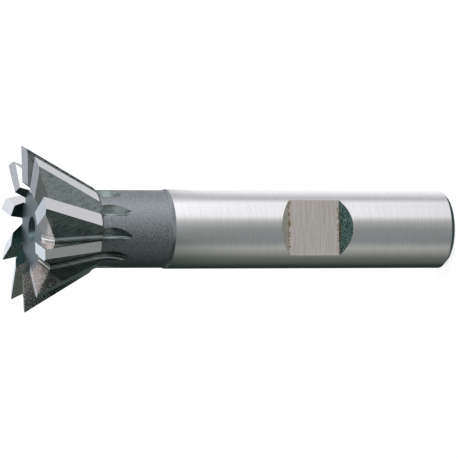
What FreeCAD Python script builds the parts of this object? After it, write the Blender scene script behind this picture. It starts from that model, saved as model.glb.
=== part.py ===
"""Angle milling cutter of the dovetail form, on a plain shank with a side-lock flat.

Millimetres. The cutter stands on the end of its shank: the origin is the centre of that
end, +Z runs up the axis of rotation to the toothed face, and -Y points out of the flat.
Around the axis, angles are counted from -Y towards +X, which is also the way it cuts.
"""
import math
import os

import FreeCAD
import Part

# Overall sizes of the cutter
TOTAL_LENGTH = 67.0
CUTTER_DIAMETER = 25.0
HEAD_LENGTH = 10.3
CONE_HALF_ANGLE = 30.0
SHANK_DIAMETER = 12.0
GROUND_LENGTH = 44.9

# Shank, neck and shoulder behind the head
SHANK_CHAMFER = 0.75
NECK_DIAMETER = 11.7
NECK_STEP_LENGTH = 0.5
SHOULDER_ANGLE = 48.0
GRINDING_ALLOWANCE = 0.05

# Side-lock flat
FLAT_TO_AXIS = 4.3
FLAT_LENGTH = 8.0
FLAT_CENTRE_HEIGHT = 22.5
FLAT_TOOL_RISE = 3.0

# Recess in the toothed face, and the centre holes at both ends
RECESS_MOUTH_RADIUS = 7.0
RECESS_FLOOR_RADIUS = 5.9
RECESS_DEPTH = 1.4
CENTRE_HOLE_DIAMETER = 3.8
CENTRE_PILOT_DIAMETER = 1.6
CENTRE_HOLE_HALF_ANGLE = 30.0
CENTRE_HOLE_DEPTH = 3.6

# Teeth: the rake plane of each tooth is parallel to the axis and stands off it
TOOTH_COUNT = 10
TOOTH_PITCH = 360.0 / TOOTH_COUNT
FIRST_RAKE_ANGLE = -14.0
RAKE_OFFSET = 0.52

# Flutes between the teeth
FLUTE_ANGLE = 62.0
FLUTE_ROOT_RADIUS = 0.6
FLUTE_START_RADIUS = 7.75
FLUTE_SLOPE = 15.4
FLUTE_FEED_DEPTH = 10.3
FLUTE_HEIGHT = 9.0
FLUTE_LEAD_IN = 4.0
FLUTE_WHEEL_RADIUS = 7.0

# Relief behind the cutting edges
CONE_RELIEF = 14.0
CONE_RELIEF_REACH = 4.0
END_RELIEF = 11.0
END_RELIEF_REACH = 3.0
RELIEF_HEIGHT = 5.0

# Gash behind each end land
END_LAND_WIDTH = 2.07
END_LAND_TAPER = 3.0
END_LAND_STATION = 11.5
GASH_ANGLE = 52.0
GASH_ROOT_RADIUS = 0.5
GASH_HEIGHT = 18.0
GASH_LEAD_IN = 6.0
GASH_RUN = 28.0

# How far the cutting tools stand clear of the blank
CLEAR = 1.0
OUTSIDE_RADIUS = 15.0

CUTTER_RADIUS = CUTTER_DIAMETER / 2.0
SHANK_RADIUS = SHANK_DIAMETER / 2.0
NECK_RADIUS = NECK_DIAMETER / 2.0
HEAD_BACK_RADIUS = CUTTER_RADIUS - HEAD_LENGTH * math.tan(math.radians(CONE_HALF_ANGLE))
SHOULDER_LENGTH = (HEAD_BACK_RADIUS - NECK_RADIUS) / math.tan(math.radians(SHOULDER_ANGLE))
SHOULDER_FOOT_HEIGHT = TOTAL_LENGTH - HEAD_LENGTH - SHOULDER_LENGTH
FLAT_LOW = FLAT_CENTRE_HEIGHT - FLAT_LENGTH / 2.0
FLAT_HIGH = FLAT_CENTRE_HEIGHT + FLAT_LENGTH / 2.0
AXIS = FreeCAD.Vector(0, 0, 1)
ORIGIN = FreeCAD.Vector(0, 0, 0)


def turned(profile):
    """Solid of revolution about +Z from a closed outline of (radius, height) pairs."""
    points = [FreeCAD.Vector(radius, 0, height) for radius, height in profile]
    face = Part.Face(Part.makePolygon(points + points[:1]))
    return face.revolve(ORIGIN, AXIS, 360)


def shank():
    """Ground shank with its end chamfer, centre hole and clamping flat.

    The outline has a point at each end of the flat, so that the stretches of the wall
    below, beside and above the flat are faces of their own.
    """
    body = turned([
        (0, 0),
        (SHANK_RADIUS - SHANK_CHAMFER, 0),
        (SHANK_RADIUS, SHANK_CHAMFER),
        (SHANK_RADIUS, FLAT_LOW),
        (SHANK_RADIUS, FLAT_HIGH),
        (SHANK_RADIUS, GROUND_LENGTH),
        (0, GROUND_LENGTH),
    ])
    return body.cut(side_lock_flat()).cut(centre_hole())


def head_blank():
    """Turned neck, shoulder and the cone that carries the teeth, from the shank upwards."""
    return turned([
        (0, GROUND_LENGTH),
        (SHANK_RADIUS, GROUND_LENGTH),
        (NECK_RADIUS, GROUND_LENGTH + NECK_STEP_LENGTH),
        (NECK_RADIUS, SHOULDER_FOOT_HEIGHT),
        (HEAD_BACK_RADIUS + GRINDING_ALLOWANCE, TOTAL_LENGTH - HEAD_LENGTH),
        (CUTTER_RADIUS + GRINDING_ALLOWANCE, TOTAL_LENGTH),
        (0, TOTAL_LENGTH),
    ])


def centre_hole():
    """Tool for one centre hole, opening at z = 0 and going up."""
    mouth = CENTRE_HOLE_DIAMETER / 2.0
    pilot = CENTRE_PILOT_DIAMETER / 2.0
    cone_depth = (mouth - pilot) / math.tan(math.radians(CENTRE_HOLE_HALF_ANGLE))
    flare = mouth + CLEAR * math.tan(math.radians(CENTRE_HOLE_HALF_ANGLE))
    tip_depth = CENTRE_HOLE_DEPTH + pilot * math.tan(math.radians(CENTRE_HOLE_HALF_ANGLE))
    return turned([
        (0, -CLEAR),
        (flare, -CLEAR),
        (pilot, cone_depth),
        (pilot, CENTRE_HOLE_DEPTH),
        (0, tip_depth),
    ])


def face_recess():
    """Tool for the shallow recess in the toothed face, with the centre hole in its floor."""
    floor = TOTAL_LENGTH - RECESS_DEPTH
    flare = RECESS_MOUTH_RADIUS + (RECESS_MOUTH_RADIUS - RECESS_FLOOR_RADIUS) * CLEAR / RECESS_DEPTH
    dish = turned([
        (0, floor),
        (RECESS_FLOOR_RADIUS, floor),
        (flare, TOTAL_LENGTH + CLEAR),
        (0, TOTAL_LENGTH + CLEAR),
    ])
    hole = centre_hole()
    hole.rotate(ORIGIN, FreeCAD.Vector(1, 0, 0), 180)
    hole.translate(AXIS * floor)
    return dish.fuse(hole)


def side_lock_flat():
    """Tool for the clamping flat: a flat floor facing -Y between two 45 degree walls."""
    outline = [
        (-FLAT_TO_AXIS, FLAT_LOW),
        (-FLAT_TO_AXIS, FLAT_HIGH),
        (-FLAT_TO_AXIS - FLAT_TOOL_RISE, FLAT_HIGH + FLAT_TOOL_RISE),
        (-FLAT_TO_AXIS - FLAT_TOOL_RISE, FLAT_LOW - FLAT_TOOL_RISE),
    ]
    points = [FreeCAD.Vector(-SHANK_DIAMETER, y, z) for y, z in outline]
    face = Part.Face(Part.makePolygon(points + points[:1]))
    return face.extrude(FreeCAD.Vector(2 * SHANK_DIAMETER, 0, 0))


def vee_section(opening, root_radius, height):
    """V outline in the XY plane: x from the sharp root outwards, y off the rake plane."""
    half = math.radians(opening / 2.0)
    lean = math.radians(opening)
    tangent = root_radius / math.tan(half)
    inmost = root_radius / math.sin(half) - root_radius
    on_rake = FreeCAD.Vector(tangent, 0, 0)
    on_back = FreeCAD.Vector(tangent * math.cos(lean), tangent * math.sin(lean), 0)
    root = FreeCAD.Vector(inmost * math.cos(half), inmost * math.sin(half), 0)
    top_rake = FreeCAD.Vector(height, 0, 0)
    top_back = FreeCAD.Vector(height, height * math.tan(lean), 0)
    edges = [
        Part.Arc(on_rake, root, on_back).toShape(),
        Part.LineSegment(on_back, top_back).toShape(),
        Part.LineSegment(top_back, top_rake).toShape(),
        Part.LineSegment(top_rake, on_rake).toShape(),
    ]
    return Part.Face(Part.Wire(edges))


def flute():
    """Tool for the flute in front of a rake plane that faces +Y, with its round run-out."""
    travel = (FLUTE_FEED_DEPTH + FLUTE_LEAD_IN) / math.cos(math.radians(FLUTE_SLOPE))
    run = vee_section(FLUTE_ANGLE, FLUTE_ROOT_RADIUS, FLUTE_HEIGHT).extrude(AXIS * travel)
    wheel = vee_section(FLUTE_ANGLE, FLUTE_ROOT_RADIUS, FLUTE_WHEEL_RADIUS).revolve(
        FreeCAD.Vector(FLUTE_WHEEL_RADIUS, 0, 0), FreeCAD.Vector(0, 1, 0), 360)
    tool = run.fuse(wheel).removeSplitter()
    tool.rotate(ORIGIN, FreeCAD.Vector(0, 1, 0), FLUTE_SLOPE)
    end_radius = FLUTE_START_RADIUS - FLUTE_FEED_DEPTH * math.tan(math.radians(FLUTE_SLOPE))
    tool.translate(FreeCAD.Vector(end_radius, -RAKE_OFFSET, TOTAL_LENGTH - FLUTE_FEED_DEPTH))
    return tool


def neighbour(x, y, turn):
    """The point (x, y) turned about the axis by a number of degrees."""
    angle = math.radians(turn)
    return (x * math.cos(angle) - y * math.sin(angle), x * math.sin(angle) + y * math.cos(angle))


def gash_depth(x, y):
    """Depth below the face of the gash plane that falls from the next tooth's end land."""
    along, across = neighbour(x, y, -TOOTH_PITCH)
    taper = math.radians(END_LAND_TAPER)
    edge_depth = END_LAND_WIDTH * math.tan(math.radians(END_RELIEF))
    lag = (math.sin(taper) * (along - END_LAND_STATION)
           + math.cos(taper) * (across + RAKE_OFFSET + END_LAND_WIDTH))
    return edge_depth - math.tan(math.radians(GASH_ANGLE)) * lag


def gash():
    """Tool for the gash between a rake plane facing +Y and the next tooth's end land.

    The bottom line runs outwards and down in the rake plane, and the section lies across it.
    """
    start = gash_depth(0, -RAKE_OFFSET)
    fall = gash_depth(1, -RAKE_OFFSET) - start
    lean = start - gash_depth(0, 1 - RAKE_OFFSET)
    opening = math.degrees(math.atan(math.hypot(1, fall) / lean))
    tool = vee_section(opening, GASH_ROOT_RADIUS, GASH_HEIGHT).extrude(AXIS * GASH_RUN)
    tool.translate(AXIS * (GASH_LEAD_IN - GASH_RUN))
    tool.rotate(ORIGIN, FreeCAD.Vector(0, 1, 0), math.degrees(math.atan(fall)) - 90)
    tool.translate(FreeCAD.Vector(0, -RAKE_OFFSET, TOTAL_LENGTH - start))
    return tool


def end_relief():
    """Tool that lowers the end land behind the end cutting edge of a tooth facing +Y."""
    slope = math.tan(math.radians(END_RELIEF))
    outline = [
        (CLEAR, slope * CLEAR),
        (-END_RELIEF_REACH, -slope * END_RELIEF_REACH),
        (-END_RELIEF_REACH, CLEAR),
        (CLEAR, CLEAR),
    ]
    points = [
        FreeCAD.Vector(RECESS_FLOOR_RADIUS - CLEAR, y - RAKE_OFFSET, TOTAL_LENGTH + z)
        for y, z in outline
    ]
    face = Part.Face(Part.makePolygon(points + points[:1]))
    return face.extrude(FreeCAD.Vector(OUTSIDE_RADIUS - RECESS_FLOOR_RADIUS, 0, 0))


def edge_station(radius):
    """Distance x along the rake plane at which a circle of this radius crosses it."""
    return math.sqrt(radius ** 2 - RAKE_OFFSET ** 2)


def cone_relief():
    """Tool that lowers the cone land behind the side cutting edge of a tooth facing +Y."""
    tip = edge_station(CUTTER_RADIUS)
    edge_angle = math.degrees(math.atan((tip - edge_station(HEAD_BACK_RADIUS)) / HEAD_LENGTH))
    length = (HEAD_LENGTH + SHOULDER_LENGTH) / math.cos(math.radians(edge_angle))
    slab = Part.makeBox(
        RELIEF_HEIGHT, CONE_RELIEF_REACH + CLEAR, length + 2 * CLEAR,
        FreeCAD.Vector(0, -CONE_RELIEF_REACH, -length - CLEAR))
    slab.rotate(ORIGIN, AXIS, -CONE_RELIEF)
    slab.rotate(ORIGIN, FreeCAD.Vector(0, 1, 0), edge_angle)
    slab.translate(FreeCAD.Vector(tip, -RAKE_OFFSET, TOTAL_LENGTH))
    head_only = Part.makeCylinder(
        2 * OUTSIDE_RADIUS, TOTAL_LENGTH, FreeCAD.Vector(0, 0, SHOULDER_FOOT_HEIGHT))
    return slab.common(head_only)


def around(tool):
    """The tool repeated at every tooth; a tooth facing +Y has its rake plane along +X."""
    copies = []
    for index in range(TOOTH_COUNT):
        copy = tool.copy()
        copy.rotate(ORIGIN, AXIS, FIRST_RAKE_ANGLE - 90.0 + index * TOOTH_PITCH)
        copies.append(copy)
    return copies


def toothed_head():
    """Neck and head with the recess, flutes, gashes and reliefs cut into them."""
    body = head_blank().cut(face_recess())
    for tool in (flute(), gash(), end_relief(), cone_relief()):
        body = body.cut(around(tool))
    return body.removeSplitter()


def cutter():
    """The whole cutter as one solid."""
    return shank().fuse(toothed_head()).Solids[0]


os.makedirs("parts", exist_ok=True)
cutter().exportStep("parts/cutter.step")
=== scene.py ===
"""Studio picture of an angle milling cutter of the dovetail form.

The cutter stands on the end of its shank at the origin, +Z up its axis, -Y out of its
clamping flat. Every surface carries the finish that the tool which cut it leaves behind; the
recess and the flat's lower end wall carry painted shade as well.
Sizes are in millimetres until a mesh or a lamp is placed in the scene, which is in metres.
"""
import logging
import math
from dataclasses import dataclass, field
from enum import IntEnum
from typing import Any, Sequence

import bmesh
import bpy
import numpy as np
from mathutils import Matrix, Vector


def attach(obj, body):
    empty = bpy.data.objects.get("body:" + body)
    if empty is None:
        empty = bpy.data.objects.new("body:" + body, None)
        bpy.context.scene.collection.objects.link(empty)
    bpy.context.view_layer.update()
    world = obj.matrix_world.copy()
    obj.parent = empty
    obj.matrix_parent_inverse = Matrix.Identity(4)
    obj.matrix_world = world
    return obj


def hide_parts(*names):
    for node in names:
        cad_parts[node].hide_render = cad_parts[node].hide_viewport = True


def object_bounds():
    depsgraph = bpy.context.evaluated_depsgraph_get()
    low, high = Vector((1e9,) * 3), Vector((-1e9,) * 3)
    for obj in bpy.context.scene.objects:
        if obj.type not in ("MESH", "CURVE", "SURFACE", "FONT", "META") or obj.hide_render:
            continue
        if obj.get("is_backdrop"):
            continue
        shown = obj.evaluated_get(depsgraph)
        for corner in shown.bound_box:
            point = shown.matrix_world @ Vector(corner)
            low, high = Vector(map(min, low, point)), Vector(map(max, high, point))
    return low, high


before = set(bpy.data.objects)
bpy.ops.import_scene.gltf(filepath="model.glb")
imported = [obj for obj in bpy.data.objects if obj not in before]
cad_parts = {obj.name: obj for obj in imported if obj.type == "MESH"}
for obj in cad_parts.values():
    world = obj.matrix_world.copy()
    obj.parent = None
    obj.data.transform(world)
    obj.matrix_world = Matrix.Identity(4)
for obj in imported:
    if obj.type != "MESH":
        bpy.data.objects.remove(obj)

LOG = logging.getLogger("cutter")
MM = 0.001
LEVEL_ANGLE = 0.2  # degrees within which two faces count as one plane
Pair = tuple[float, float]
Colour = tuple[float, float, float]


class Finish(IntEnum):
    """How a surface was made, with painted shade in the recess and on the flat's lower end wall; the
    value is its material's index on the cutter.
    """

    GROUND_SHANK = 0
    TURNED_NECK = 1
    MILLED_FLUTE = 2
    GROUND_LAND = 3
    GROUND_GASH = 4
    MILLED_FLAT = 5
    # painted shade: the flat's lower end wall is a darker, greener copy of the upper wall's finish
    FLAT_WALL_PAINTED_SHADE = 6
    # dark turned finish of the recess floor and the centre holes, darkened further as painted shade
    TURNED_RECESS_AND_SHADE = 7
    END_LAND = 8
    # painted shade: the recess wall gets a near-black copy of the recess's turned finish
    RECESS_WALL_PAINTED_SHADE = 9
    RAKE_TIP = 10
    UPPER_WALL = 11


# Solids


@dataclass
class Solid:
    """A closed surface with one finish for each of its faces.

    Args:
        points: Corner points in millimetres, one row each.
        faces: Corner numbers of each face.
        finishes: One finish for each face.
    """

    points: np.ndarray
    faces: list[tuple[int, ...]]
    finishes: list[int]

    def facing_out(self) -> "Solid":
        """The same solid with its faces turned outwards.

        Returns:
            The solid; its volume, the sum of the tetrahedra from the origin to each
            face fan, is then positive.
        """
        volume = 0.0
        for face in self.faces:
            fan = self.points[list(face)]
            normals = np.cross(fan[1:-1] - fan[0], fan[2:] - fan[0])
            volume += float(normals.sum(axis=0) @ fan[0])
        if volume < 0.0:
            return Solid(self.points, [face[::-1] for face in self.faces], self.finishes)
        return self

    def placed(self, turn: float, shift: Sequence[float] = (0.0, 0.0, 0.0)) -> "Solid":
        """The same solid shifted and then turned about +Z.

        Args:
            turn: Angle in degrees.
            shift: Shift in millimetres.

        Returns:
            A solid of its own.
        """
        angle = math.radians(turn)
        matrix = np.array([
            [math.cos(angle), -math.sin(angle), 0.0],
            [math.sin(angle), math.cos(angle), 0.0],
            [0.0, 0.0, 1.0],
        ])
        return Solid((self.points + np.array(shift)) @ matrix.T, self.faces, self.finishes)

    def mesh(self, name: str) -> bpy.types.Mesh:
        """A Blender mesh of the solid, in millimetres.

        Args:
            name: Name of the mesh.

        Returns:
            The mesh, with the finishes as material indices.
        """
        mesh = bpy.data.meshes.new(name)
        mesh.from_pydata(self.points.tolist(), [], self.faces)
        mesh.polygons.foreach_set("material_index", np.array(self.finishes, np.int32))
        mesh.update()
        return mesh


def revolved(profile: Sequence[Pair], finishes: Sequence[int], segments: int) -> Solid:
    """Solid of revolution about +Z.

    Args:
        profile: (radius, height) pairs; the first and the last lie on the axis.
        finishes: One finish for each stretch of the profile.
        segments: Number of steps around.

    Returns:
        The solid: ring i has the points (r cos t, r sin t, z) at all angles t.
    """
    rings = np.array(profile[1:-1])
    turn = np.arange(segments) * (2.0 * math.pi / segments)
    grid = np.empty((len(rings), segments, 3))
    grid[..., 0] = rings[:, :1] * np.cos(turn)
    grid[..., 1] = rings[:, :1] * np.sin(turn)
    grid[..., 2] = rings[:, 1:]
    poles = np.array([[0.0, 0.0, profile[0][1]], [0.0, 0.0, profile[-1][1]]])
    points = np.concatenate([grid.reshape(-1, 3), poles])
    here = np.arange(segments)
    following = (here + 1) % segments
    faces: list[tuple[int, ...]] = []
    kinds: list[int] = []
    first, last = len(points) - 2, len(points) - 1
    faces += [(first, int(b), int(a)) for a, b in zip(here, following)]
    kinds += [finishes[0]] * segments
    for ring in range(len(rings) - 1):
        low, high = ring * segments, (ring + 1) * segments
        faces += [
            (low + int(a), low + int(b), high + int(b), high + int(a))
            for a, b in zip(here, following)
        ]
        kinds += [finishes[ring + 1]] * segments
    top = (len(rings) - 1) * segments
    faces += [(last, top + int(a), top + int(b)) for a, b in zip(here, following)]
    kinds += [finishes[-1]] * segments
    return Solid(points, faces, kinds).facing_out()


def swept(stations: np.ndarray, finishes: Sequence[int], cap: int) -> Solid:
    """Solid swept through a row of closed sections.

    Args:
        stations: Section points, as (station, corner, 3).
        finishes: One finish for each side of the section, side j from corner j to j + 1.
        cap: Finish of the two end faces.

    Returns:
        The solid.
    """
    count, corners = stations.shape[:2]
    faces: list[tuple[int, ...]] = []
    kinds: list[int] = []
    for row in range(count - 1):
        low, high = row * corners, (row + 1) * corners
        for j in range(corners):
            k = (j + 1) % corners
            faces.append((low + j, low + k, high + k, high + j))
            kinds.append(finishes[j])
    faces.append(tuple(range(corners))[::-1])
    faces.append(tuple(range((count - 1) * corners, count * corners)))
    return Solid(stations.reshape(-1, 3), faces, kinds + [cap, cap]).facing_out()


def vee(opening: float, radius: float, height: float, steps: int) -> np.ndarray:
    """Section of a V groove with a rounded root.

    Args:
        opening: Angle between its sides, in degrees.
        radius: Radius of the root.
        height: Length of the first side from the sharp root.
        steps: Steps around the root.

    Returns:
        Corner points (a, b): a along the first side, b away from it. The rounding is
        tangent to both sides, its centre at (radius / tan(opening / 2), radius).
    """
    lean = math.radians(opening)
    reach = radius / math.tan(lean / 2.0)
    angle = np.linspace(-math.pi / 2.0, -math.pi / 2.0 - (math.pi - lean), steps + 1)
    root = np.stack([reach + radius * np.cos(angle), radius + radius * np.sin(angle)], axis=1)
    ends = np.array([[height, height * math.tan(lean)], [height, 0.0]])
    return np.concatenate([root, ends])


# The cutter's sub-assemblies


@dataclass(frozen=True)
class Blank:
    """Turned and ground bar before the teeth are cut; the head is larger by the allowance."""

    length: float = 67.0
    diameter: float = 25.0
    head_length: float = 10.3
    cone_angle: float = 30.0
    shank_diameter: float = 12.0
    chamfer: float = 0.75
    ground_length: float = 44.9
    neck_diameter: float = 11.7
    step_length: float = 0.5
    shoulder_angle: float = 48.0
    allowance: float = 0.3
    segments: int = 192

    @property
    def back_radius(self) -> float:
        """Radius of the cutting edges at the back of the cone."""
        return self.diameter / 2.0 - self.head_length * math.tan(math.radians(self.cone_angle))

    @property
    def shoulder_foot(self) -> float:
        """Height at which the shoulder leaves the neck."""
        rise = self.back_radius - self.neck_diameter / 2.0
        return self.length - self.head_length - rise / math.tan(math.radians(self.shoulder_angle))

    def solid(self) -> Solid:
        """The bar.

        Returns:
            The solid; the shoulder is drawn on along its own slope to the larger cone.
        """
        shank, neck = self.shank_diameter / 2.0, self.neck_diameter / 2.0
        back = self.length - self.head_length
        slope = math.tan(math.radians(self.shoulder_angle))
        grown = self.back_radius + self.allowance
        cone = math.tan(math.radians(self.cone_angle))
        corner = (back * slope - back * cone + grown - self.back_radius) / (slope - cone)
        top = self.length + self.allowance
        profile = [
            (0.0, 0.0), (shank - self.chamfer, 0.0), (shank, self.chamfer),
            (shank, self.ground_length), (neck, self.ground_length + self.step_length),
            (neck, self.shoulder_foot), (grown + cone * (corner - back), corner),
            (grown + cone * (top - back), top), (0.0, top),
        ]
        ground, turned = Finish.GROUND_SHANK, Finish.TURNED_NECK
        kinds = [ground, ground, ground, turned, turned, turned, Finish.GROUND_LAND, Finish.END_LAND]
        return revolved(profile, kinds, self.segments)


@dataclass(frozen=True)
class ClampingFlat:
    """Side-lock flat with 45 degree end walls, milled across the shank."""

    to_axis: float = 4.3
    length: float = 8.0
    centre: float = 22.5
    rise: float = 3.0
    half_width: float = 12.0

    @property
    def ends(self) -> Pair:
        """Heights of the lower and the upper end of the flat."""
        return self.centre - self.length / 2.0, self.centre + self.length / 2.0

    def solid(self) -> Solid:
        """The cutting tool's sweep.

        Returns:
            A prism along X; its floor faces -Y at the flat.
        """
        low, high = self.ends
        outline = [
            (-self.to_axis, low), (-self.to_axis, high),
            (-self.to_axis - self.rise, high + self.rise),
            (-self.to_axis - self.rise, low - self.rise),
        ]
        ends = [[(x, y, z) for y, z in outline] for x in (-self.half_width, self.half_width)]
        # both end walls come from this one cut; the lower wall's finish carries painted shade
        kinds = [Finish.MILLED_FLAT, Finish.UPPER_WALL, Finish.FLAT_WALL_PAINTED_SHADE, Finish.FLAT_WALL_PAINTED_SHADE]
        return swept(np.array(ends), kinds, Finish.FLAT_WALL_PAINTED_SHADE)


@dataclass(frozen=True)
class Recess:
    """Dished recess in the toothed face, and the centre holes at both ends of the bar."""

    mouth_radius: float = 7.0
    floor_radius: float = 5.9
    depth: float = 1.4
    hole_radius: float = 1.9
    pilot_radius: float = 0.8
    hole_angle: float = 30.0
    hole_depth: float = 3.6
    clear: float = 1.0
    segments: int = 96
    hole_segments: int = 48

    def dish(self, length: float) -> Solid:
        """Tool for the recess.

        Args:
            length: Height of the toothed face.

        Returns:
            The solid, open upwards.
        """
        floor = length - self.depth
        flare = self.mouth_radius + (self.mouth_radius - self.floor_radius) * self.clear / self.depth
        profile = [(0.0, floor), (self.floor_radius, floor), (flare, length + self.clear),
                   (0.0, length + self.clear)]
        # floor and wall of the recess: dark turned finish with painted shade, the wall painted near
        # black as shade
        kinds = [Finish.TURNED_RECESS_AND_SHADE, Finish.RECESS_WALL_PAINTED_SHADE, Finish.RECESS_WALL_PAINTED_SHADE]
        return revolved(profile, kinds, self.segments)

    def hole(self, mouth: float, inwards: float) -> Solid:
        """Tool for a centre hole.

        Args:
            mouth: Height of its mouth.
            inwards: 1 when the hole goes up, -1 when it goes down.

        Returns:
            The solid, which stands out of the mouth.
        """
        slope = math.tan(math.radians(self.hole_angle))
        cone = (self.hole_radius - self.pilot_radius) / slope
        steps = [
            (0.0, -self.clear), (self.hole_radius + self.clear * slope, -self.clear),
            (self.pilot_radius, cone), (self.pilot_radius, self.hole_depth),
            (0.0, self.hole_depth + self.pilot_radius * slope),
        ]
        profile = [(radius, mouth + inwards * step) for radius, step in steps]
        # the centre holes take the dark turned finish with painted shade
        return revolved(profile, [Finish.TURNED_RECESS_AND_SHADE] * 4, self.hole_segments)


@dataclass(frozen=True)
class Teeth:
    """The cuts that make the teeth, drawn for a tooth whose rake plane runs along +X.

    The slabs that relieve the lands reach from a little in front of the cutting edge
    (end_front, cone_front) to slab_back behind it. The wheel's radius less wheel_share of it
    is what the flute's section stays clear of the wheel's centre.
    """

    count: int = 10
    first_angle: float = -14.0
    rake_offset: float = 0.52
    flute_angle: float = 62.0
    flute_root: float = 0.6
    flute_start: float = 7.75
    flute_slope: float = 15.4
    feed_depth: float = 10.3
    wheel_radius: float = 7.0
    lead_in: float = 4.0
    wheel_share: float = 0.985
    run_out: float = 85.0
    run_out_steps: int = 24
    cone_relief: float = 14.0
    end_relief: float = 11.0
    land_width: float = 2.07
    land_taper: float = 3.0
    land_station: float = 11.5
    gash_angle: float = 52.0
    gash_root: float = 0.5
    gash_step: float = 0.01
    gash_height: float = 18.0
    gash_span: Pair = (-6.0, 22.0)
    end_front: float = 0.4
    cone_front: float = 0.6
    slab_back: float = -2.7
    slab_depth: float = 5.0
    slab_top: float = 1.5
    slab_span: Pair = (6.2, 15.0)
    root_steps: int = 12

    @property
    def pitch(self) -> float:
        """Angle from one tooth to the next, in degrees."""
        return 360.0 / self.count

    def flute(self, blank: Blank) -> Solid:
        """Straight flute and its round run-out.

        Args:
            blank: The bar that it is cut into.

        Returns:
            A V section carried down the root line and then around the wheel's centre, from
            which it stays a little clear.
        """
        slope = math.radians(self.flute_slope)
        outward = np.array([math.cos(slope), 0.0, -math.sin(slope)])
        down = np.array([-math.sin(slope), 0.0, -math.cos(slope)])
        end = np.array([
            self.flute_start - self.feed_depth * math.tan(slope), 0.0,
            blank.length - self.feed_depth])
        start = end - down * (self.feed_depth + self.lead_in) / math.cos(slope)
        centre = end + outward * self.wheel_radius
        angle = slope - np.radians(np.linspace(0.0, self.run_out, self.run_out_steps + 1))
        spokes = np.stack([np.cos(angle), np.zeros_like(angle), -np.sin(angle)], axis=1)
        roots = np.concatenate([start[None], centre - self.wheel_radius * spokes])
        normals = np.concatenate([outward[None], spokes])
        height = self.wheel_radius * self.wheel_share
        section = vee(self.flute_angle, self.flute_root, height, self.root_steps)
        aside = np.array([0.0, 1.0, 0.0])
        stations = (roots[:, None] + section[None, :, :1] * normals[:, None]
                    + section[None, :, 1:] * aside)
        kinds = [Finish.MILLED_FLUTE] * len(section)
        return swept(stations, kinds, Finish.MILLED_FLUTE)

    def depth_of_gash(self, x: float, y: float) -> float:
        """Depth of the gash plane below the toothed face.

        Args:
            x: Distance along the rake plane.
            y: Distance in front of the parallel plane through the axis.

        Returns:
            The depth: that of the next tooth's land edge, less the slope times the lag.
        """
        turn, taper = math.radians(self.pitch), math.radians(self.land_taper)
        along = x * math.cos(turn) + y * math.sin(turn)
        across = y * math.cos(turn) - x * math.sin(turn)
        lag = (math.sin(taper) * (along - self.land_station)
               + math.cos(taper) * (across + self.rake_offset + self.land_width))
        edge = self.land_width * math.tan(math.radians(self.end_relief))
        return edge - math.tan(math.radians(self.gash_angle)) * lag

    def gash(self, blank: Blank) -> Solid:
        """Gash between the rake plane and the next tooth's end land.

        Args:
            blank: The bar that it is cut into.

        Returns:
            A V section carried along the bottom line, which runs outwards and down.
        """
        rake = -self.rake_offset
        start = self.depth_of_gash(0.0, rake)
        fall = self.depth_of_gash(1.0, rake) - start
        lean = start - self.depth_of_gash(0.0, rake + 1.0)
        opening = math.degrees(math.atan(math.hypot(1.0, fall) / lean))
        length = math.hypot(1.0, fall)
        along = np.array([1.0, 0.0, -fall]) / length
        upward = np.array([fall, 0.0, 1.0]) / length
        aside = np.array([0.0, 1.0, 0.0])
        ends = np.array([[0.0, 0.0, blank.length - start]]) + np.outer(self.gash_span, along)
        section = vee(opening, self.gash_root, self.gash_height, self.root_steps)
        stations = (ends[:, None] + section[None, :, :1] * upward
                    + section[None, :, 1:] * aside)
        kinds = [Finish.GROUND_GASH] * (len(section) - 1) + [Finish.RAKE_TIP]
        tool = swept(stations, kinds, Finish.GROUND_GASH)
        return tool.placed(0.0, (0.0, -self.gash_step, 0.0))

    def end_land(self, blank: Blank) -> Solid:
        """Relief of the end land: a slab over the plane that falls away behind the edge.

        Args:
            blank: The bar that it is cut into.

        Returns:
            The slab, which reaches inwards to the recess.
        """
        slope = math.tan(math.radians(self.end_relief))
        front, back, high = self.end_front, self.slab_back, self.slab_top
        outline = [(front, slope * front), (back, slope * back), (back, high), (front, high)]
        ends = [[(x, y, blank.length + z) for y, z in outline] for x in self.slab_span]
        kinds = [Finish.END_LAND] * 4
        return swept(np.array(ends), kinds, Finish.END_LAND)

    def cone_land(self, blank: Blank) -> Solid:
        """Relief of the cone land behind the side cutting edge.

        Args:
            blank: The bar that it is cut into.

        Returns:
            The slab; at each height its inner side starts at the cutting edge and leans
            inwards by the relief angle, taken square to the edge.
        """
        def edge(radius: float) -> float:
            """Distance of the cutting edge along the rake plane, at a radius from the axis."""
            return math.sqrt(radius ** 2 - self.rake_offset ** 2)

        tip = edge(blank.diameter / 2.0)
        slope = (tip - edge(blank.back_radius)) / blank.head_length
        fall = math.tan(math.radians(self.cone_relief)) * math.hypot(1.0, slope)
        front, back, depth = self.cone_front, self.slab_back, self.slab_depth
        ends = []
        for height in (blank.shoulder_foot, blank.length + self.slab_top):
            x = tip - (blank.length - height) * slope
            ends.append([
                (x + fall * front, front, height), (x + fall * front + depth, front, height),
                (x + fall * back + depth, back, height), (x + fall * back, back, height),
            ])
        kinds = [Finish.GROUND_LAND] * 4
        return swept(np.array(ends), kinds, Finish.GROUND_LAND)

    def tools(self, blank: Blank) -> list[Solid]:
        """All cuts, repeated at every tooth.

        Args:
            blank: The bar that they are cut into.

        Returns:
            The cutting solids in the order in which they are used.
        """
        kinds = [self.end_land(blank), self.cone_land(blank), self.flute(blank), self.gash(blank)]
        turns = self.first_angle - 90.0 + np.arange(self.count) * self.pitch
        return [
            kind.placed(float(turn), (0.0, -self.rake_offset, 0.0))
            for kind in kinds for turn in turns
        ]


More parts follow.
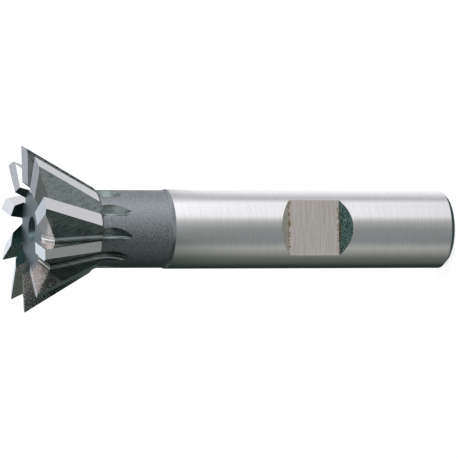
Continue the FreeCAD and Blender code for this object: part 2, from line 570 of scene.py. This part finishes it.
@dataclass(frozen=True)
class CutterBody:
    """The whole cutter: the bar, the cuts, and the broken edges."""

    blank: Blank = field(default_factory=Blank)
    flat: ClampingFlat = field(default_factory=ClampingFlat)
    recess: Recess = field(default_factory=Recess)
    teeth: Teeth = field(default_factory=Teeth)
    edge_break: float = 0.03
    edge_angle: float = 25.0
    smooth_angle: float = 12.0
    edge_segments: int = 2
    weld: float = 0.0005

    def cuts(self) -> list[Solid]:
        """Every cutting solid in order.

        Returns:
            The solids.
        """
        floor = self.blank.length - self.recess.depth
        return [
            self.recess.dish(self.blank.length), self.recess.hole(floor, -1.0),
            self.recess.hole(0.0, 1.0), self.flat.solid(), *self.teeth.tools(self.blank),
        ]

    def carved(self, materials: Sequence[bpy.types.Material]) -> bpy.types.Mesh:
        """The bar with all cuts made, in millimetres.

        Args:
            materials: The finishes' materials in order.

        Returns:
            A mesh without modifiers.
        """
        def link(name: str, solid: Solid) -> bpy.types.Object:
            """Puts a solid into the scene.

            Args:
                name: Name of its object and mesh.
                solid: The solid.

            Returns:
                The object, with every finish's material.
            """
            item = bpy.data.objects.new(name, solid.mesh(name))
            for material in materials:
                item.data.materials.append(material)
            bpy.context.scene.collection.objects.link(item)
            return item

        body = link("bar", self.blank.solid())
        tools = [link(f"cut_{index:02d}", solid) for index, solid in enumerate(self.cuts())]
        for tool in tools:
            cut = body.modifiers.new(tool.name, "BOOLEAN")
            cut.operation = "DIFFERENCE"
            cut.solver = "MANIFOLD"
            cut.object = tool
        mesh = evaluated(body)
        for item in [body, *tools]:
            bpy.data.objects.remove(item)
        return mesh

    def build(self, materials: Sequence[bpy.types.Material]) -> bpy.types.Object:
        """The finished piece in metres.

        Args:
            materials: The finishes' materials in order.

        Returns:
            The object, with smooth curved walls and narrow bevels along its edges.
        """
        mesh = self.carved(materials)
        welded(mesh, self.weld)
        mesh.polygons.foreach_set("use_smooth", np.ones(len(mesh.polygons), bool))
        mesh.set_sharp_from_angle(angle=math.radians(self.smooth_angle))
        draft = bpy.data.objects.new("draft", mesh)
        bpy.context.scene.collection.objects.link(draft)
        bevel = draft.modifiers.new("edges", "BEVEL")
        bevel.width = self.edge_break
        bevel.segments = self.edge_segments
        bevel.limit_method = "ANGLE"
        bevel.angle_limit = math.radians(self.edge_angle)
        bevel.harden_normals = True
        final = evaluated(draft)
        bpy.data.objects.remove(draft)
        final.transform(Matrix.Scale(MM, 4))
        final.name = "cutter_body"
        piece = bpy.data.objects.new("cutter_body", final)
        bpy.context.scene.collection.objects.link(piece)
        LOG.info("cutter: %d faces", len(final.polygons))
        return piece


def evaluated(item: bpy.types.Object) -> bpy.types.Mesh:
    """The mesh of an object with its modifiers applied.

    Args:
        item: The object.

    Returns:
        A new mesh.
    """
    graph = bpy.context.evaluated_depsgraph_get()
    return bpy.data.meshes.new_from_object(item.evaluated_get(graph), depsgraph=graph)


def welded(mesh: bpy.types.Mesh, distance: float) -> None:
    """Joins points that lie together and takes out faces without area.

    Args:
        mesh: The mesh to change.
        distance: Largest gap that is closed.
    """
    work = bmesh.new()
    work.from_mesh(mesh)
    bmesh.ops.remove_doubles(work, verts=work.verts, dist=distance)
    bmesh.ops.dissolve_degenerate(work, edges=work.edges, dist=distance)
    bmesh.ops.dissolve_limit(
        work, angle_limit=math.radians(LEVEL_ANGLE), verts=work.verts, edges=work.edges,
        delimit={"MATERIAL"})
    work.to_mesh(mesh)
    work.free()


# Materials


class Graph:
    """A node tree with short ways to add and join nodes."""

    def __init__(self, tree: bpy.types.NodeTree) -> None:
        """Keeps the tree that the nodes go into."""
        self.tree = tree

    def add(self, kind: str, inputs: dict[Any, Any] | None = None, **settings: Any) -> bpy.types.Node:
        """Adds a node.

        Args:
            kind: Node type.
            inputs: Values or sockets for its inputs, by name or number.
            **settings: Attributes of the node.

        Returns:
            The node.
        """
        node = self.tree.nodes.new(kind)
        for name, value in settings.items():
            setattr(node, name, value)
        for key, value in (inputs or {}).items():
            if isinstance(value, bpy.types.NodeSocket):
                self.tree.links.new(value, node.inputs[key])
            else:
                node.inputs[key].default_value = value
        return node

    def math(self, operation: str, *values: Any) -> bpy.types.NodeSocket:
        """Adds a Math node.

        Args:
            operation: Its operation.
            *values: Its inputs in order.

        Returns:
            Its output.
        """
        return self.add("ShaderNodeMath", dict(enumerate(values)), operation=operation).outputs[0]


class Lay(IntEnum):
    """Direction in which tool marks run."""

    AROUND = 0
    SQUARE = 1
    SLOPED = 2


def unrolled(graph: Graph, point: bpy.types.NodeSocket) -> bpy.types.NodeSocket:
    """Adds the nodes that unroll the surface about the axis.

    Args:
        graph: Where they go.
        point: Object-space point in metres.

    Returns:
        (arc length, height, radius) in millimetres, the arc length being the angle
        about +Z times the radius.
    """
    scaled = graph.add("ShaderNodeVectorMath", {0: point, "Scale": 1.0 / MM}, operation="SCALE")
    part = graph.add("ShaderNodeSeparateXYZ", {0: scaled.outputs[0]}).outputs
    angle = graph.math("ARCTAN2", part[1], part[0])
    radius = graph.math("SQRT", graph.math("ADD", graph.math("POWER", part[0], 2.0),
                                           graph.math("POWER", part[1], 2.0)))
    arc = graph.math("MULTIPLY", angle, radius)
    return graph.add("ShaderNodeCombineXYZ", {0: arc, 1: part[2], 2: radius}).outputs[0]


def marks_group(lay: Lay) -> bpy.types.NodeTree:
    """Node group for tool marks and grain.

    Args:
        lay: Direction of the marks.

    Returns:
        The group. From an object-space point in metres it makes two values about 0.5:
        "Marks", noise stretched along the lay, and "Grain", fine noise.
    """
    group = bpy.data.node_groups.new(f"tool_marks_{lay.name.lower()}", "ShaderNodeTree")
    sockets = group.interface
    sockets.new_socket("Vector", in_out="INPUT", socket_type="NodeSocketVector")
    for name in ("Along", "Across", "Grain Scale"):
        sockets.new_socket(name, in_out="INPUT", socket_type="NodeSocketFloat")
    for name in ("Marks", "Grain"):
        sockets.new_socket(name, in_out="OUTPUT", socket_type="NodeSocketFloat")
    graph = Graph(group)
    given = graph.add("NodeGroupInput").outputs
    if lay is Lay.SQUARE:
        place = graph.add("ShaderNodeVectorMath", {0: given["Vector"], "Scale": 1.0 / MM},
                          operation="SCALE").outputs[0]
    else:
        place = unrolled(graph, given["Vector"])
    if lay is Lay.SLOPED:
        part = graph.add("ShaderNodeSeparateXYZ", {0: place}).outputs
        place = graph.add("ShaderNodeCombineXYZ", {0: part[1], 1: part[0], 2: part[2]}).outputs[0]
    scale = graph.add("ShaderNodeCombineXYZ", {
        0: given["Along"], 1: given["Across"], 2: given["Across"]})
    stretched = graph.add(
        "ShaderNodeVectorMath", {0: place, 1: scale.outputs[0]}, operation="MULTIPLY")
    marks = graph.add("ShaderNodeTexNoise", {
        "Vector": stretched.outputs[0], "Scale": 1.0, "Detail": 4.0, "Roughness": 0.7})
    grain = graph.add("ShaderNodeTexNoise", {
        "Vector": place, "Scale": given["Grain Scale"], "Detail": 3.0, "Roughness": 0.6})
    spread = {"From Min": 0.33, "From Max": 0.67}
    clear_marks = graph.add("ShaderNodeMapRange", {"Value": marks.outputs[0], **spread})
    clear_grain = graph.add("ShaderNodeMapRange", {"Value": grain.outputs[0], **spread})
    graph.add("NodeGroupOutput", {"Marks": clear_marks.outputs[0], "Grain": clear_grain.outputs[0]})
    return group


def burr_group() -> bpy.types.NodeTree:
    """Node group for specks of burr along an edge that runs around the shank.

    Returns:
        The group: a mask from an object-space point in metres and the edge's height in
        millimetres; it falls from one at the edge to none 0.4 mm away, in specks.
    """
    group = bpy.data.node_groups.new("burr_specks", "ShaderNodeTree")
    group.interface.new_socket("Vector", in_out="INPUT", socket_type="NodeSocketVector")
    group.interface.new_socket("Height", in_out="INPUT", socket_type="NodeSocketFloat")
    group.interface.new_socket("Mask", in_out="OUTPUT", socket_type="NodeSocketFloat")
    graph = Graph(group)
    given = graph.add("NodeGroupInput").outputs
    place = unrolled(graph, given["Vector"])
    part = graph.add("ShaderNodeSeparateXYZ", {0: place}).outputs
    gap = graph.math("ABSOLUTE", graph.math("SUBTRACT", part[1], given["Height"]))
    near = graph.add("ShaderNodeMapRange", {
        "Value": gap, "From Min": 0.1, "From Max": 0.4, "To Min": 1.0, "To Max": 0.0})
    noise = graph.add("ShaderNodeTexNoise", {"Vector": place, "Scale": 2.6, "Detail": 2.0})
    speck = graph.add("ShaderNodeMapRange", {
        "Value": noise.outputs[0], "From Min": 0.5, "From Max": 0.58})
    graph.add("NodeGroupOutput", {0: graph.math("MULTIPLY", near.outputs[0], speck.outputs[0])})
    return group


@dataclass(frozen=True)
class SteelFinish:
    """One finish of the steel.

    Args:
        colour: Base colour, linear.
        roughness: Mean roughness.
        along: Frequency of the marks along their lay, per millimetre.
        across: Frequency across the lay, per millimetre.
        lay: Around the axis, along X, or up the cutter.
        contrast: How far the marks change the colour and the roughness.
        grain: How far the grain changes them.
        grain_scale: Frequency of the grain, per millimetre.
        bump: Height of the marks and the grain, in millimetres.
        burrs: Heights of edges with rusty burrs, in millimetres.
    """

    colour: Colour
    roughness: float
    along: float = 0.2
    across: float = 6.0
    lay: Lay = Lay.AROUND
    contrast: float = 0.3
    grain: float = 0.2
    grain_scale: float = 6.0
    bump: float = 0.002
    burrs: tuple[float, ...] = ()


RUST: Colour = (0.33, 0.22, 0.10)
LOW_END, HIGH_END = ClampingFlat().ends
STEEL: dict[Finish, SteelFinish] = {
    Finish.GROUND_SHANK: SteelFinish((0.63, 0.63, 0.63), 0.14, contrast=0.13, grain=0.10, bump=0.0005),
    Finish.TURNED_NECK: SteelFinish(
        (0.27, 0.295, 0.305), 0.40, contrast=0.15, grain=0.62, grain_scale=3.8),
    Finish.MILLED_FLUTE: SteelFinish(
        (0.225, 0.264, 0.256), 0.25, along=0.25, across=2.6, contrast=0.65, grain=0.40, grain_scale=4.2,
        lay=Lay.SLOPED),
    Finish.GROUND_LAND: SteelFinish((0.64, 0.64, 0.65), 0.22, lay=Lay.SQUARE, contrast=0.10, grain=0.08),
    Finish.GROUND_GASH: SteelFinish((0.60, 0.60, 0.60), 0.26, lay=Lay.SQUARE, contrast=0.20, grain=0.20),
    Finish.MILLED_FLAT: SteelFinish(
        (0.79, 0.715, 0.685), 0.22, lay=Lay.SQUARE, across=3.5, contrast=0.22, grain=0.06,
        burrs=(LOW_END, HIGH_END)),
    # painted shade: the lower end wall is painted darker than the upper one, which the same cut leaves;
    # its rusty burr specks are real
    Finish.FLAT_WALL_PAINTED_SHADE: SteelFinish(
        (0.25, 0.355, 0.335), 0.26, grain=1.5, grain_scale=7.0, burrs=(LOW_END,)),
    # the upper end wall: the same cut's finish without the lower wall's painted shade
    Finish.UPPER_WALL: SteelFinish(
        (0.43, 0.455, 0.42), 0.26, grain=0.3, grain_scale=5.0, burrs=(HIGH_END,)),
    # dark turned finish, darkened further as painted shade in the recess and the centre holes
    Finish.TURNED_RECESS_AND_SHADE: SteelFinish((0.100, 0.138, 0.150), 0.38, contrast=0.1, grain=0.25),
    Finish.END_LAND: SteelFinish((0.66, 0.68, 0.70), 0.20, lay=Lay.SQUARE, contrast=0.10, grain=0.05),
    # painted shade: the recess wall is near black, where the recess lies in shade
    Finish.RECESS_WALL_PAINTED_SHADE: SteelFinish((0.015, 0.035, 0.033), 0.45, grain=0.9, grain_scale=3.0),
    Finish.RAKE_TIP: SteelFinish(
        (0.86, 0.78, 0.76), 0.21, lay=Lay.SQUARE, contrast=0.25, grain=0.75, grain_scale=4.2),
}


class SteelLibrary:
    """Builds the cutter's materials, all from the same node groups."""

    def __init__(self) -> None:
        """Makes the node groups."""
        self.marks = {lay: marks_group(lay) for lay in Lay}
        self.burrs = burr_group()

    def material(self, finish: Finish) -> bpy.types.Material:
        """The material of one finish.

        Args:
            finish: The finish.

        Returns:
            The material: colour and roughness are the mean times one plus the marks' and
            the grain's departure from 0.5, each by its own share.
        """
        look = STEEL[finish]
        material = bpy.data.materials.new(f"steel_{finish.name.lower()}")
        material.use_nodes = True
        material.node_tree.nodes.clear()
        graph = Graph(material.node_tree)
        place = graph.add("ShaderNodeTexCoord").outputs["Object"]
        marks = graph.add("ShaderNodeGroup", node_tree=self.marks[look.lay])
        graph.tree.links.new(place, marks.inputs["Vector"])
        marks.inputs["Along"].default_value = look.along
        marks.inputs["Across"].default_value = look.across
        marks.inputs["Grain Scale"].default_value = look.grain_scale
        from_marks = graph.math("MULTIPLY", graph.math("SUBTRACT", marks.outputs["Marks"], 0.5),
                                look.contrast)
        from_grain = graph.math("MULTIPLY", graph.math("SUBTRACT", marks.outputs["Grain"], 0.5),
                                look.grain)
        change = graph.math("ADD", graph.math("ADD", from_marks, from_grain), 1.0)
        colour = graph.add("ShaderNodeVectorMath", {0: look.colour, "Scale": change}, operation="SCALE")
        rough = graph.math("MULTIPLY", change, look.roughness)
        shade = colour.outputs[0]
        for height_of_edge in look.burrs:
            specks = graph.add("ShaderNodeGroup", node_tree=self.burrs)
            graph.tree.links.new(place, specks.inputs["Vector"])
            specks.inputs["Height"].default_value = height_of_edge
            shade = graph.add("ShaderNodeMix", {
                "Factor": specks.outputs[0], 6: shade, 7: (*RUST, 1.0)},
                data_type="RGBA").outputs[2]
        height = graph.math("ADD", from_marks, from_grain)
        bump = graph.add("ShaderNodeBump", {
            "Strength": 1.0, "Distance": look.bump * MM, "Height": height})
        shader = graph.add("ShaderNodeBsdfPrincipled", {
            "Base Color": shade, "Roughness": rough, "Metallic": 1.0,
            "Normal": bump.outputs[0]})
        graph.add("ShaderNodeOutputMaterial", {0: shader.outputs[0]})
        return material


# The studio


@dataclass(frozen=True)
class Stop:
    """Colour of the surroundings at an azimuth from -Y towards +X, in degrees."""

    azimuth: float
    colour: Colour


DARK_SIDE: Colour = (0.03, 0.045, 0.04)
LOW_EDGE: Colour = (0.20, 0.22, 0.20)
LOW_CARD: Colour = (0.60, 0.60, 0.57)
GREY_GAP: Colour = (0.36, 0.38, 0.38)
KEY_CARD: Colour = (1.30, 1.28, 1.32)
CARD_GAP: Colour = (0.70, 0.68, 0.72)
LEVEL_STOPS = (
    Stop(-180.0, DARK_SIDE), Stop(-140.0, DARK_SIDE), Stop(-95.0, LOW_EDGE),
    Stop(-60.0, LOW_CARD), Stop(-40.0, GREY_GAP), Stop(-5.0, GREY_GAP),
    Stop(18.0, LOW_CARD), Stop(36.0, KEY_CARD), Stop(80.0, KEY_CARD),
    Stop(96.0, CARD_GAP), Stop(130.0, KEY_CARD), Stop(180.0, KEY_CARD),
)
DARKEST: Colour = (0.02, 0.04, 0.035)
DARK_FLANK: Colour = (0.06, 0.09, 0.085)
DARK_FOOT: Colour = (0.08, 0.11, 0.11)
DARK_CEILING: Colour = (0.05, 0.08, 0.075)
DARK_FLOOR: Colour = (0.05, 0.08, 0.08)
BLUE_GREY: Colour = (0.42, 0.44, 0.48)
NECK_STOPS = (
    Stop(-180.0, DARKEST), Stop(-105.0, DARKEST), Stop(-60.0, (0.05, 0.08, 0.07)),
    Stop(-40.0, (0.13, 0.16, 0.15)), Stop(-20.0, (0.26, 0.30, 0.29)),
    Stop(0.0, (0.46, 0.50, 0.51)), Stop(20.0, (0.80, 0.83, 0.85)),
    Stop(40.0, (1.52, 1.52, 1.57)), Stop(70.0, (1.85, 1.85, 1.91)),
    Stop(95.0, (1.00, 1.00, 1.05)), Stop(112.0, (0.35, 0.36, 0.38)),
    Stop(180.0, (0.20, 0.22, 0.24)),
)
FLANK_STOPS = (
    Stop(-180.0, DARK_FLANK), Stop(-140.0, DARK_FLANK), Stop(-115.0, (0.16, 0.19, 0.18)),
    Stop(-75.0, (0.16, 0.19, 0.18)), Stop(-45.0, (0.05, 0.07, 0.065)),
    Stop(-25.0, (0.12, 0.14, 0.135)), Stop(-8.0, (0.36, 0.38, 0.37)),
    Stop(15.0, (0.48, 0.50, 0.49)), Stop(32.0, (0.24, 0.26, 0.25)),
    Stop(55.0, (0.26, 0.28, 0.27)), Stop(66.0, (0.20, 0.22, 0.21)),
    Stop(72.0, (0.10, 0.11, 0.11)), Stop(85.0, (0.10, 0.11, 0.11)),
    Stop(98.0, (0.95, 0.95, 0.98)), Stop(140.0, (0.90, 0.90, 0.93)), Stop(155.0, DARK_FOOT),
    Stop(180.0, DARK_FOOT),
)
STEEP_STOPS = (
    Stop(-180.0, (0.15, 0.17, 0.17)), Stop(-150.0, (0.15, 0.17, 0.17)),
    Stop(-120.0, (0.33, 0.35, 0.33)), Stop(-80.0, (0.31, 0.33, 0.31)),
    Stop(-45.0, (0.36, 0.38, 0.36)), Stop(-15.0, (1.20, 1.19, 1.19)),
    Stop(5.0, (1.25, 1.25, 1.27)), Stop(22.0, (1.00, 1.00, 1.04)),
    Stop(140.0, (0.90, 0.90, 0.93)), Stop(150.0, DARK_FOOT), Stop(180.0, DARK_FOOT),
)
DEEP_STOPS = (
    Stop(-180.0, DARK_FLOOR), Stop(-130.0, DARK_FLOOR), Stop(-115.0, (0.36, 0.38, 0.36)),
    Stop(-75.0, (0.36, 0.38, 0.36)), Stop(-40.0, (0.62, 0.62, 0.60)),
    Stop(20.0, (0.68, 0.68, 0.66)), Stop(35.0, (1.00, 1.00, 1.04)),
    Stop(80.0, (1.00, 1.00, 1.04)), Stop(120.0, DARK_FLOOR), Stop(180.0, DARK_FLOOR),
)
LOW_WALL_STOPS = (
    Stop(-180.0, (0.86, 0.94, 1.02)), Stop(-172.0, (0.86, 0.94, 1.02)),
    Stop(-164.0, (0.12, 0.15, 0.15)), Stop(-150.0, (0.12, 0.15, 0.15)),
    Stop(-142.0, (0.38, 0.39, 0.40)), Stop(-130.0, (0.38, 0.39, 0.40)),
    Stop(-110.0, (0.08, 0.10, 0.10)), Stop(-45.0, (0.10, 0.12, 0.12)),
    Stop(-28.0, (0.30, 0.32, 0.32)), Stop(-14.0, (1.00, 1.00, 1.02)),
    Stop(4.0, (1.00, 1.00, 1.02)), Stop(20.0, (0.45, 0.46, 0.48)),
    Stop(60.0, (0.65, 0.66, 0.68)), Stop(95.0, (1.08, 1.08, 1.12)),
    Stop(170.0, (1.05, 1.05, 1.10)), Stop(180.0, (0.86, 0.94, 1.02)),
)
HIGH_WALL_STOPS = (
    Stop(-180.0, BLUE_GREY), Stop(-145.0, (0.60, 0.58, 0.58)), Stop(-125.0, (0.40, 0.38, 0.38)),
    Stop(-110.0, (0.12, 0.13, 0.13)), Stop(-97.0, (0.10, 0.12, 0.12)),
    Stop(-87.0, (0.19, 0.21, 0.21)), Stop(-60.0, (0.16, 0.19, 0.18)), Stop(-20.0, DARK_CEILING),
    Stop(20.0, DARK_CEILING), Stop(60.0, (1.60, 1.60, 1.63)), Stop(72.0, (2.20, 2.20, 2.23)),
    Stop(91.0, (2.20, 2.20, 2.23)), Stop(98.0, (0.60, 0.60, 0.61)),
    Stop(110.0, (0.55, 0.55, 0.56)), Stop(140.0, (1.00, 1.00, 1.04)), Stop(180.0, BLUE_GREY),
)
TOP_STOPS = (
    Stop(-180.0, BLUE_GREY), Stop(-145.0, (0.60, 0.58, 0.58)), Stop(-125.0, (2.40, 2.28, 2.25)),
    Stop(-116.0, (0.08, 0.09, 0.09)), Stop(-92.0, (0.08, 0.10, 0.10)),
    Stop(-60.0, (0.16, 0.19, 0.18)), Stop(-20.0, DARK_CEILING), Stop(20.0, DARK_CEILING),
    Stop(60.0, (0.45, 0.45, 0.46)), Stop(75.0, (0.40, 0.40, 0.41)),
    Stop(110.0, (0.40, 0.40, 0.41)), Stop(140.0, (1.00, 1.00, 1.04)), Stop(180.0, BLUE_GREY),
)
ZENITH_STOPS = (
    Stop(-180.0, (0.35, 0.36, 0.37)), Stop(-125.0, (0.30, 0.30, 0.29)),
    Stop(-90.0, (0.20, 0.21, 0.21)), Stop(-60.0, (0.12, 0.14, 0.14)), Stop(-20.0, DARK_CEILING),
    Stop(20.0, DARK_CEILING), Stop(60.0, (0.45, 0.45, 0.46)), Stop(120.0, (0.45, 0.45, 0.46)),
    Stop(180.0, (0.35, 0.36, 0.37)),
)


@dataclass(frozen=True)
class Band:
    """Far cards of the same colours between two heights, in millimetres."""

    top: float
    bottom: float
    stops: Sequence[Stop]


CEILING = 2600.0
FLOOR = -700.0
WALL_BANDS = (
    Band(CEILING, 1190.0, ZENITH_STOPS), Band(1140.0, 830.0, TOP_STOPS),
    Band(780.0, 352.0, HIGH_WALL_STOPS), Band(350.0, 0.0, LOW_WALL_STOPS),
    Band(-2.0, -138.0, NECK_STOPS), Band(-152.0, -252.0, LEVEL_STOPS),
    Band(-266.0, -490.0, FLANK_STOPS), Band(-510.0, FLOOR, STEEP_STOPS),
)


@dataclass(frozen=True)
class Flag:
    """An upright dark flag between two (x, y) places in millimetres, with a faint glow."""

    name: str
    start: Pair
    end: Pair
    glow: Colour


FLAGS = (
    Flag("front_flag", (-16.0, -16.0), (-3.5, -16.0), (0.022, 0.036, 0.032)),
    Flag("side_flag", (-17.0, 7.0), (-17.0, -5.0), (0.075, 0.095, 0.085)),
)


@dataclass(frozen=True)
class Surroundings:
    """Cards far around the cutter and two flags near it, seen by its reflections alone.

    A ray that leaves the cutter downwards at the slope s meets the far cards at the height
    z - s * radius, so each band of heights serves the faces of one slope.
    """

    radius: float = 600.0
    floor_share: float = 0.95
    middle: float = 1.0
    steps: int = 360
    flag_bottom: float = 52.0
    flag_top: float = 66.0

    def rims(self) -> list[tuple[float, float, Sequence[Stop]]]:
        """The rims of the far cards.

        Returns:
            (radius, height, colours) of each, from the ceiling down to the middle of the floor.
        """
        ceiling = [(self.middle, CEILING, ZENITH_STOPS)]
        walls = [(self.radius, z, band.stops) for band in WALL_BANDS for z in (band.top, band.bottom)]
        floor = [(radius, FLOOR, DEEP_STOPS) for radius in (self.radius * self.floor_share, self.middle)]
        return ceiling + walls + floor

    def far_cards(self) -> bpy.types.Object:
        """The far cards, turned about the axis.

        Returns:
            One mesh with its colours in a point attribute.
        """
        azimuth = np.linspace(-180.0, 180.0, self.steps + 1)
        turn = np.radians(azimuth)
        rims = self.rims()
        grid = np.empty((len(rims), self.steps + 1, 3))
        rgba = np.ones((len(rims), self.steps + 1, 4))
        for row, (radius, height, stops) in enumerate(rims):
            grid[row] = np.stack(
                [radius * np.sin(turn), -radius * np.cos(turn), np.full_like(turn, height)], axis=1)
            places = [stop.azimuth for stop in stops]
            shades = np.array([stop.colour for stop in stops])
            rgba[row, :, :3] = np.stack(
                [np.interp(azimuth, places, shades[:, channel]) for channel in range(3)], axis=1)
        here = np.arange(self.steps)
        cell = np.stack([here, here + 1, here + self.steps + 2, here + self.steps + 1], axis=1)
        faces = np.concatenate([cell + row * (self.steps + 1) for row in range(len(rims) - 1)])
        return self.card("far_cards", grid.reshape(-1, 3), faces, rgba.reshape(-1, 4))

    def flag(self, flag: Flag) -> bpy.types.Object:
        """A flag that darkens the rake faces of one lower tooth.

        Args:
            flag: Its place and glow.

        Returns:
            The object.
        """
        low, high = self.flag_bottom, self.flag_top
        points = np.array([(*flag.start, low), (*flag.end, low), (*flag.end, high), (*flag.start, high)])
        rgba = np.tile(np.array((*flag.glow, 1.0)), (len(points), 1))
        return self.card(flag.name, points, np.arange(len(points))[None, :], rgba)

    def card(self, name: str, points: np.ndarray, faces: np.ndarray,
             rgba: np.ndarray) -> bpy.types.Object:
        """A mesh that only glossy rays see.

        Args:
            name: Its name.
            points: Its points in millimetres.
            faces: Its faces.
            rgba: A colour for each point.

        Returns:
            The object, with the colours in the attribute "glow".
        """
        mesh = bpy.data.meshes.new(name)
        mesh.from_pydata((points * MM).tolist(), [], faces.tolist())
        attribute = mesh.color_attributes.new("glow", "FLOAT_COLOR", "POINT")
        attribute.data.foreach_set("color", rgba.reshape(-1).astype(np.float32))
        item = bpy.data.objects.new(name, mesh)
        bpy.context.scene.collection.objects.link(item)
        for kind in ("camera", "diffuse", "shadow", "transmission", "volume_scatter"):
            setattr(item, f"visible_{kind}", False)
        return item

    def material(self) -> bpy.types.Material:
        """Emission in the attribute's colour.

        Returns:
            The material.
        """
        material = bpy.data.materials.new("cards")
        material.use_nodes = True
        material.node_tree.nodes.clear()
        graph = Graph(material.node_tree)
        shade = graph.add("ShaderNodeAttribute", attribute_name="glow")
        glow = graph.add("ShaderNodeEmission", {"Color": shade.outputs["Color"]})
        graph.add("ShaderNodeOutputMaterial", {0: glow.outputs[0]})
        return material

    def build(self) -> None:
        """Makes the cards and the flags."""
        material = self.material()
        for item in (self.far_cards(), *(self.flag(flag) for flag in FLAGS)):
            item.data.materials.append(material)
            item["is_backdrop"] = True


@dataclass(frozen=True)
class Lamp:
    """A square area lamp that faces the cutter.

    Args:
        name: Its name.
        azimuth: Degrees from -Y towards +X.
        elevation: Degrees above the floor.
        distance: Metres from the cutter's middle.
        size: Side in metres.
        power: Watts.
        colour: Its colour.
    """

    name: str
    azimuth: float
    elevation: float
    distance: float
    size: float
    power: float
    colour: Colour = (1.0, 1.0, 1.0)


LAMPS = (
    Lamp("key", azimuth=75.0, elevation=50.0, distance=0.8, size=0.7, power=1.3,
         colour=(1.0, 0.99, 1.0)),
    Lamp("back", azimuth=175.0, elevation=62.0, distance=0.9, size=0.8, power=0.7),
)


@dataclass(frozen=True)
class Studio:
    """Floor, world, lamps and camera."""

    floor_size: float = 4.0
    floor_colour: float = 0.80
    floor_glow: float = 0.75
    world_level: float = 0.28
    camera_target: tuple[float, float, float] = (0.0, 0.0, 34.645)
    camera_azimuth: float = -2.5
    camera_elevation: float = 18.54
    camera_distance: float = 600.0
    focal_length: float = 311.7
    sensor: float = 36.0
    clip: Pair = (0.05, 20.0)

    def floor(self) -> None:
        """The pale floor: white to the camera. The steel mirrors the far cards instead."""
        half = self.floor_size / 2.0
        mesh = bpy.data.meshes.new("floor")
        mesh.from_pydata([(-half, -half, 0), (half, -half, 0), (half, half, 0), (-half, half, 0)],
                         [], [(0, 1, 2, 3)])
        item = bpy.data.objects.new("floor", mesh)
        bpy.context.scene.collection.objects.link(item)
        material = bpy.data.materials.new("floor")
        material.use_nodes = True
        material.node_tree.nodes.clear()
        graph = Graph(material.node_tree)
        path = graph.add("ShaderNodeLightPath").outputs
        seen = graph.math("MAXIMUM", graph.math("MAXIMUM", path["Is Camera Ray"], path["Is Glossy Ray"]),
                          path["Is Transmission Ray"])
        colour = (self.floor_colour,) * 3 + (1.0,)
        matt = graph.add("ShaderNodeBsdfDiffuse", {"Color": colour})
        strength = graph.math("MULTIPLY", seen, self.floor_glow)
        glow = graph.add("ShaderNodeEmission", {"Strength": strength})
        both = graph.add("ShaderNodeAddShader", {0: matt.outputs[0], 1: glow.outputs[0]})
        graph.add("ShaderNodeOutputMaterial", {0: both.outputs[0]})
        mesh.materials.append(material)
        item.visible_glossy = False
        item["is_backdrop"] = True

    def world(self) -> None:
        """The world: a plain level for the object, white to camera and glossy rays."""
        world = bpy.data.worlds.new("studio")
        world.use_nodes = True
        world.node_tree.nodes.clear()
        graph = Graph(world.node_tree)
        path = graph.add("ShaderNodeLightPath").outputs
        seen = graph.math("MAXIMUM", path["Is Camera Ray"], path["Is Glossy Ray"])
        level = graph.math("MULTIPLY_ADD", seen, 1.0 - self.world_level, self.world_level)
        ground = graph.add("ShaderNodeBackground", {
            "Color": (1.0, 1.0, 1.0, 1.0), "Strength": level})
        graph.add("ShaderNodeOutputWorld", {0: ground.outputs[0]})
        bpy.context.scene.world = world

    def lamp(self, lamp: Lamp) -> None:
        """Places a lamp.

        Args:
            lamp: The lamp.
        """
        data = bpy.data.lights.new(lamp.name, "AREA")
        data.size, data.energy, data.color = lamp.size, lamp.power, lamp.colour
        item = bpy.data.objects.new(lamp.name, data)
        towards = direction(lamp.azimuth, lamp.elevation)
        place = Vector(self.camera_target) * MM + towards * lamp.distance
        item.matrix_world = (
            Matrix.Translation(place) @ towards.to_track_quat("Z", "Y").to_matrix().to_4x4())
        bpy.context.scene.collection.objects.link(item)

    def camera(self) -> None:
        """The camera, on its side: +Z of the cutter points to the left of the picture."""
        data = bpy.data.cameras.new("camera")
        data.lens, data.sensor_width = self.focal_length, self.sensor
        data.clip_start, data.clip_end = self.clip
        back = direction(self.camera_azimuth, self.camera_elevation)
        axis = Vector((0.0, 0.0, 1.0))
        right = -(axis - back * axis.dot(back)).normalized()
        up = back.cross(right)
        turn = Matrix((right, up, back)).transposed().to_4x4()
        item = bpy.data.objects.new("camera", data)
        place = Vector(self.camera_target) * MM + back * self.camera_distance * MM
        item.matrix_world = Matrix.Translation(place) @ turn
        bpy.context.scene.collection.objects.link(item)
        bpy.context.scene.camera = item

    def build(self) -> None:
        """Everything around the cutter."""
        self.floor()
        self.world()
        for lamp in LAMPS:
            self.lamp(lamp)
        self.camera()


def direction(azimuth: float, elevation: float) -> Vector:
    """Unit vector from the cutter.

    Args:
        azimuth: Degrees from -Y towards +X.
        elevation: Degrees above the floor.

    Returns:
        (sin a cos e, -cos a cos e, sin e).
    """
    a, e = math.radians(azimuth), math.radians(elevation)
    return Vector((math.sin(a) * math.cos(e), -math.cos(a) * math.cos(e), math.sin(e)))


def write_bounds(stage_name: str, record: dict[str, Any]) -> None:
    """Args:
        stage_name: Key to write them under.
        record: The bounds gathered so far; it is changed.
    """
    low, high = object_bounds()
    record[stage_name] = [list(low), list(high)]


def main() -> None:
    """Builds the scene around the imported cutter."""
    logging.basicConfig(level=logging.INFO)
    record: dict[str, Any] = {}
    write_bounds("loaded", record)
    library = SteelLibrary()
    materials = [library.material(finish) for finish in Finish]
    piece = CutterBody().build(materials)
    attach(piece, "root")
    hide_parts("cutter")
    Surroundings().build()
    Studio().build()
    bpy.context.scene.view_settings.view_transform = "Standard"
    write_bounds("finished", record)


if __name__ == "__main__":
    main()
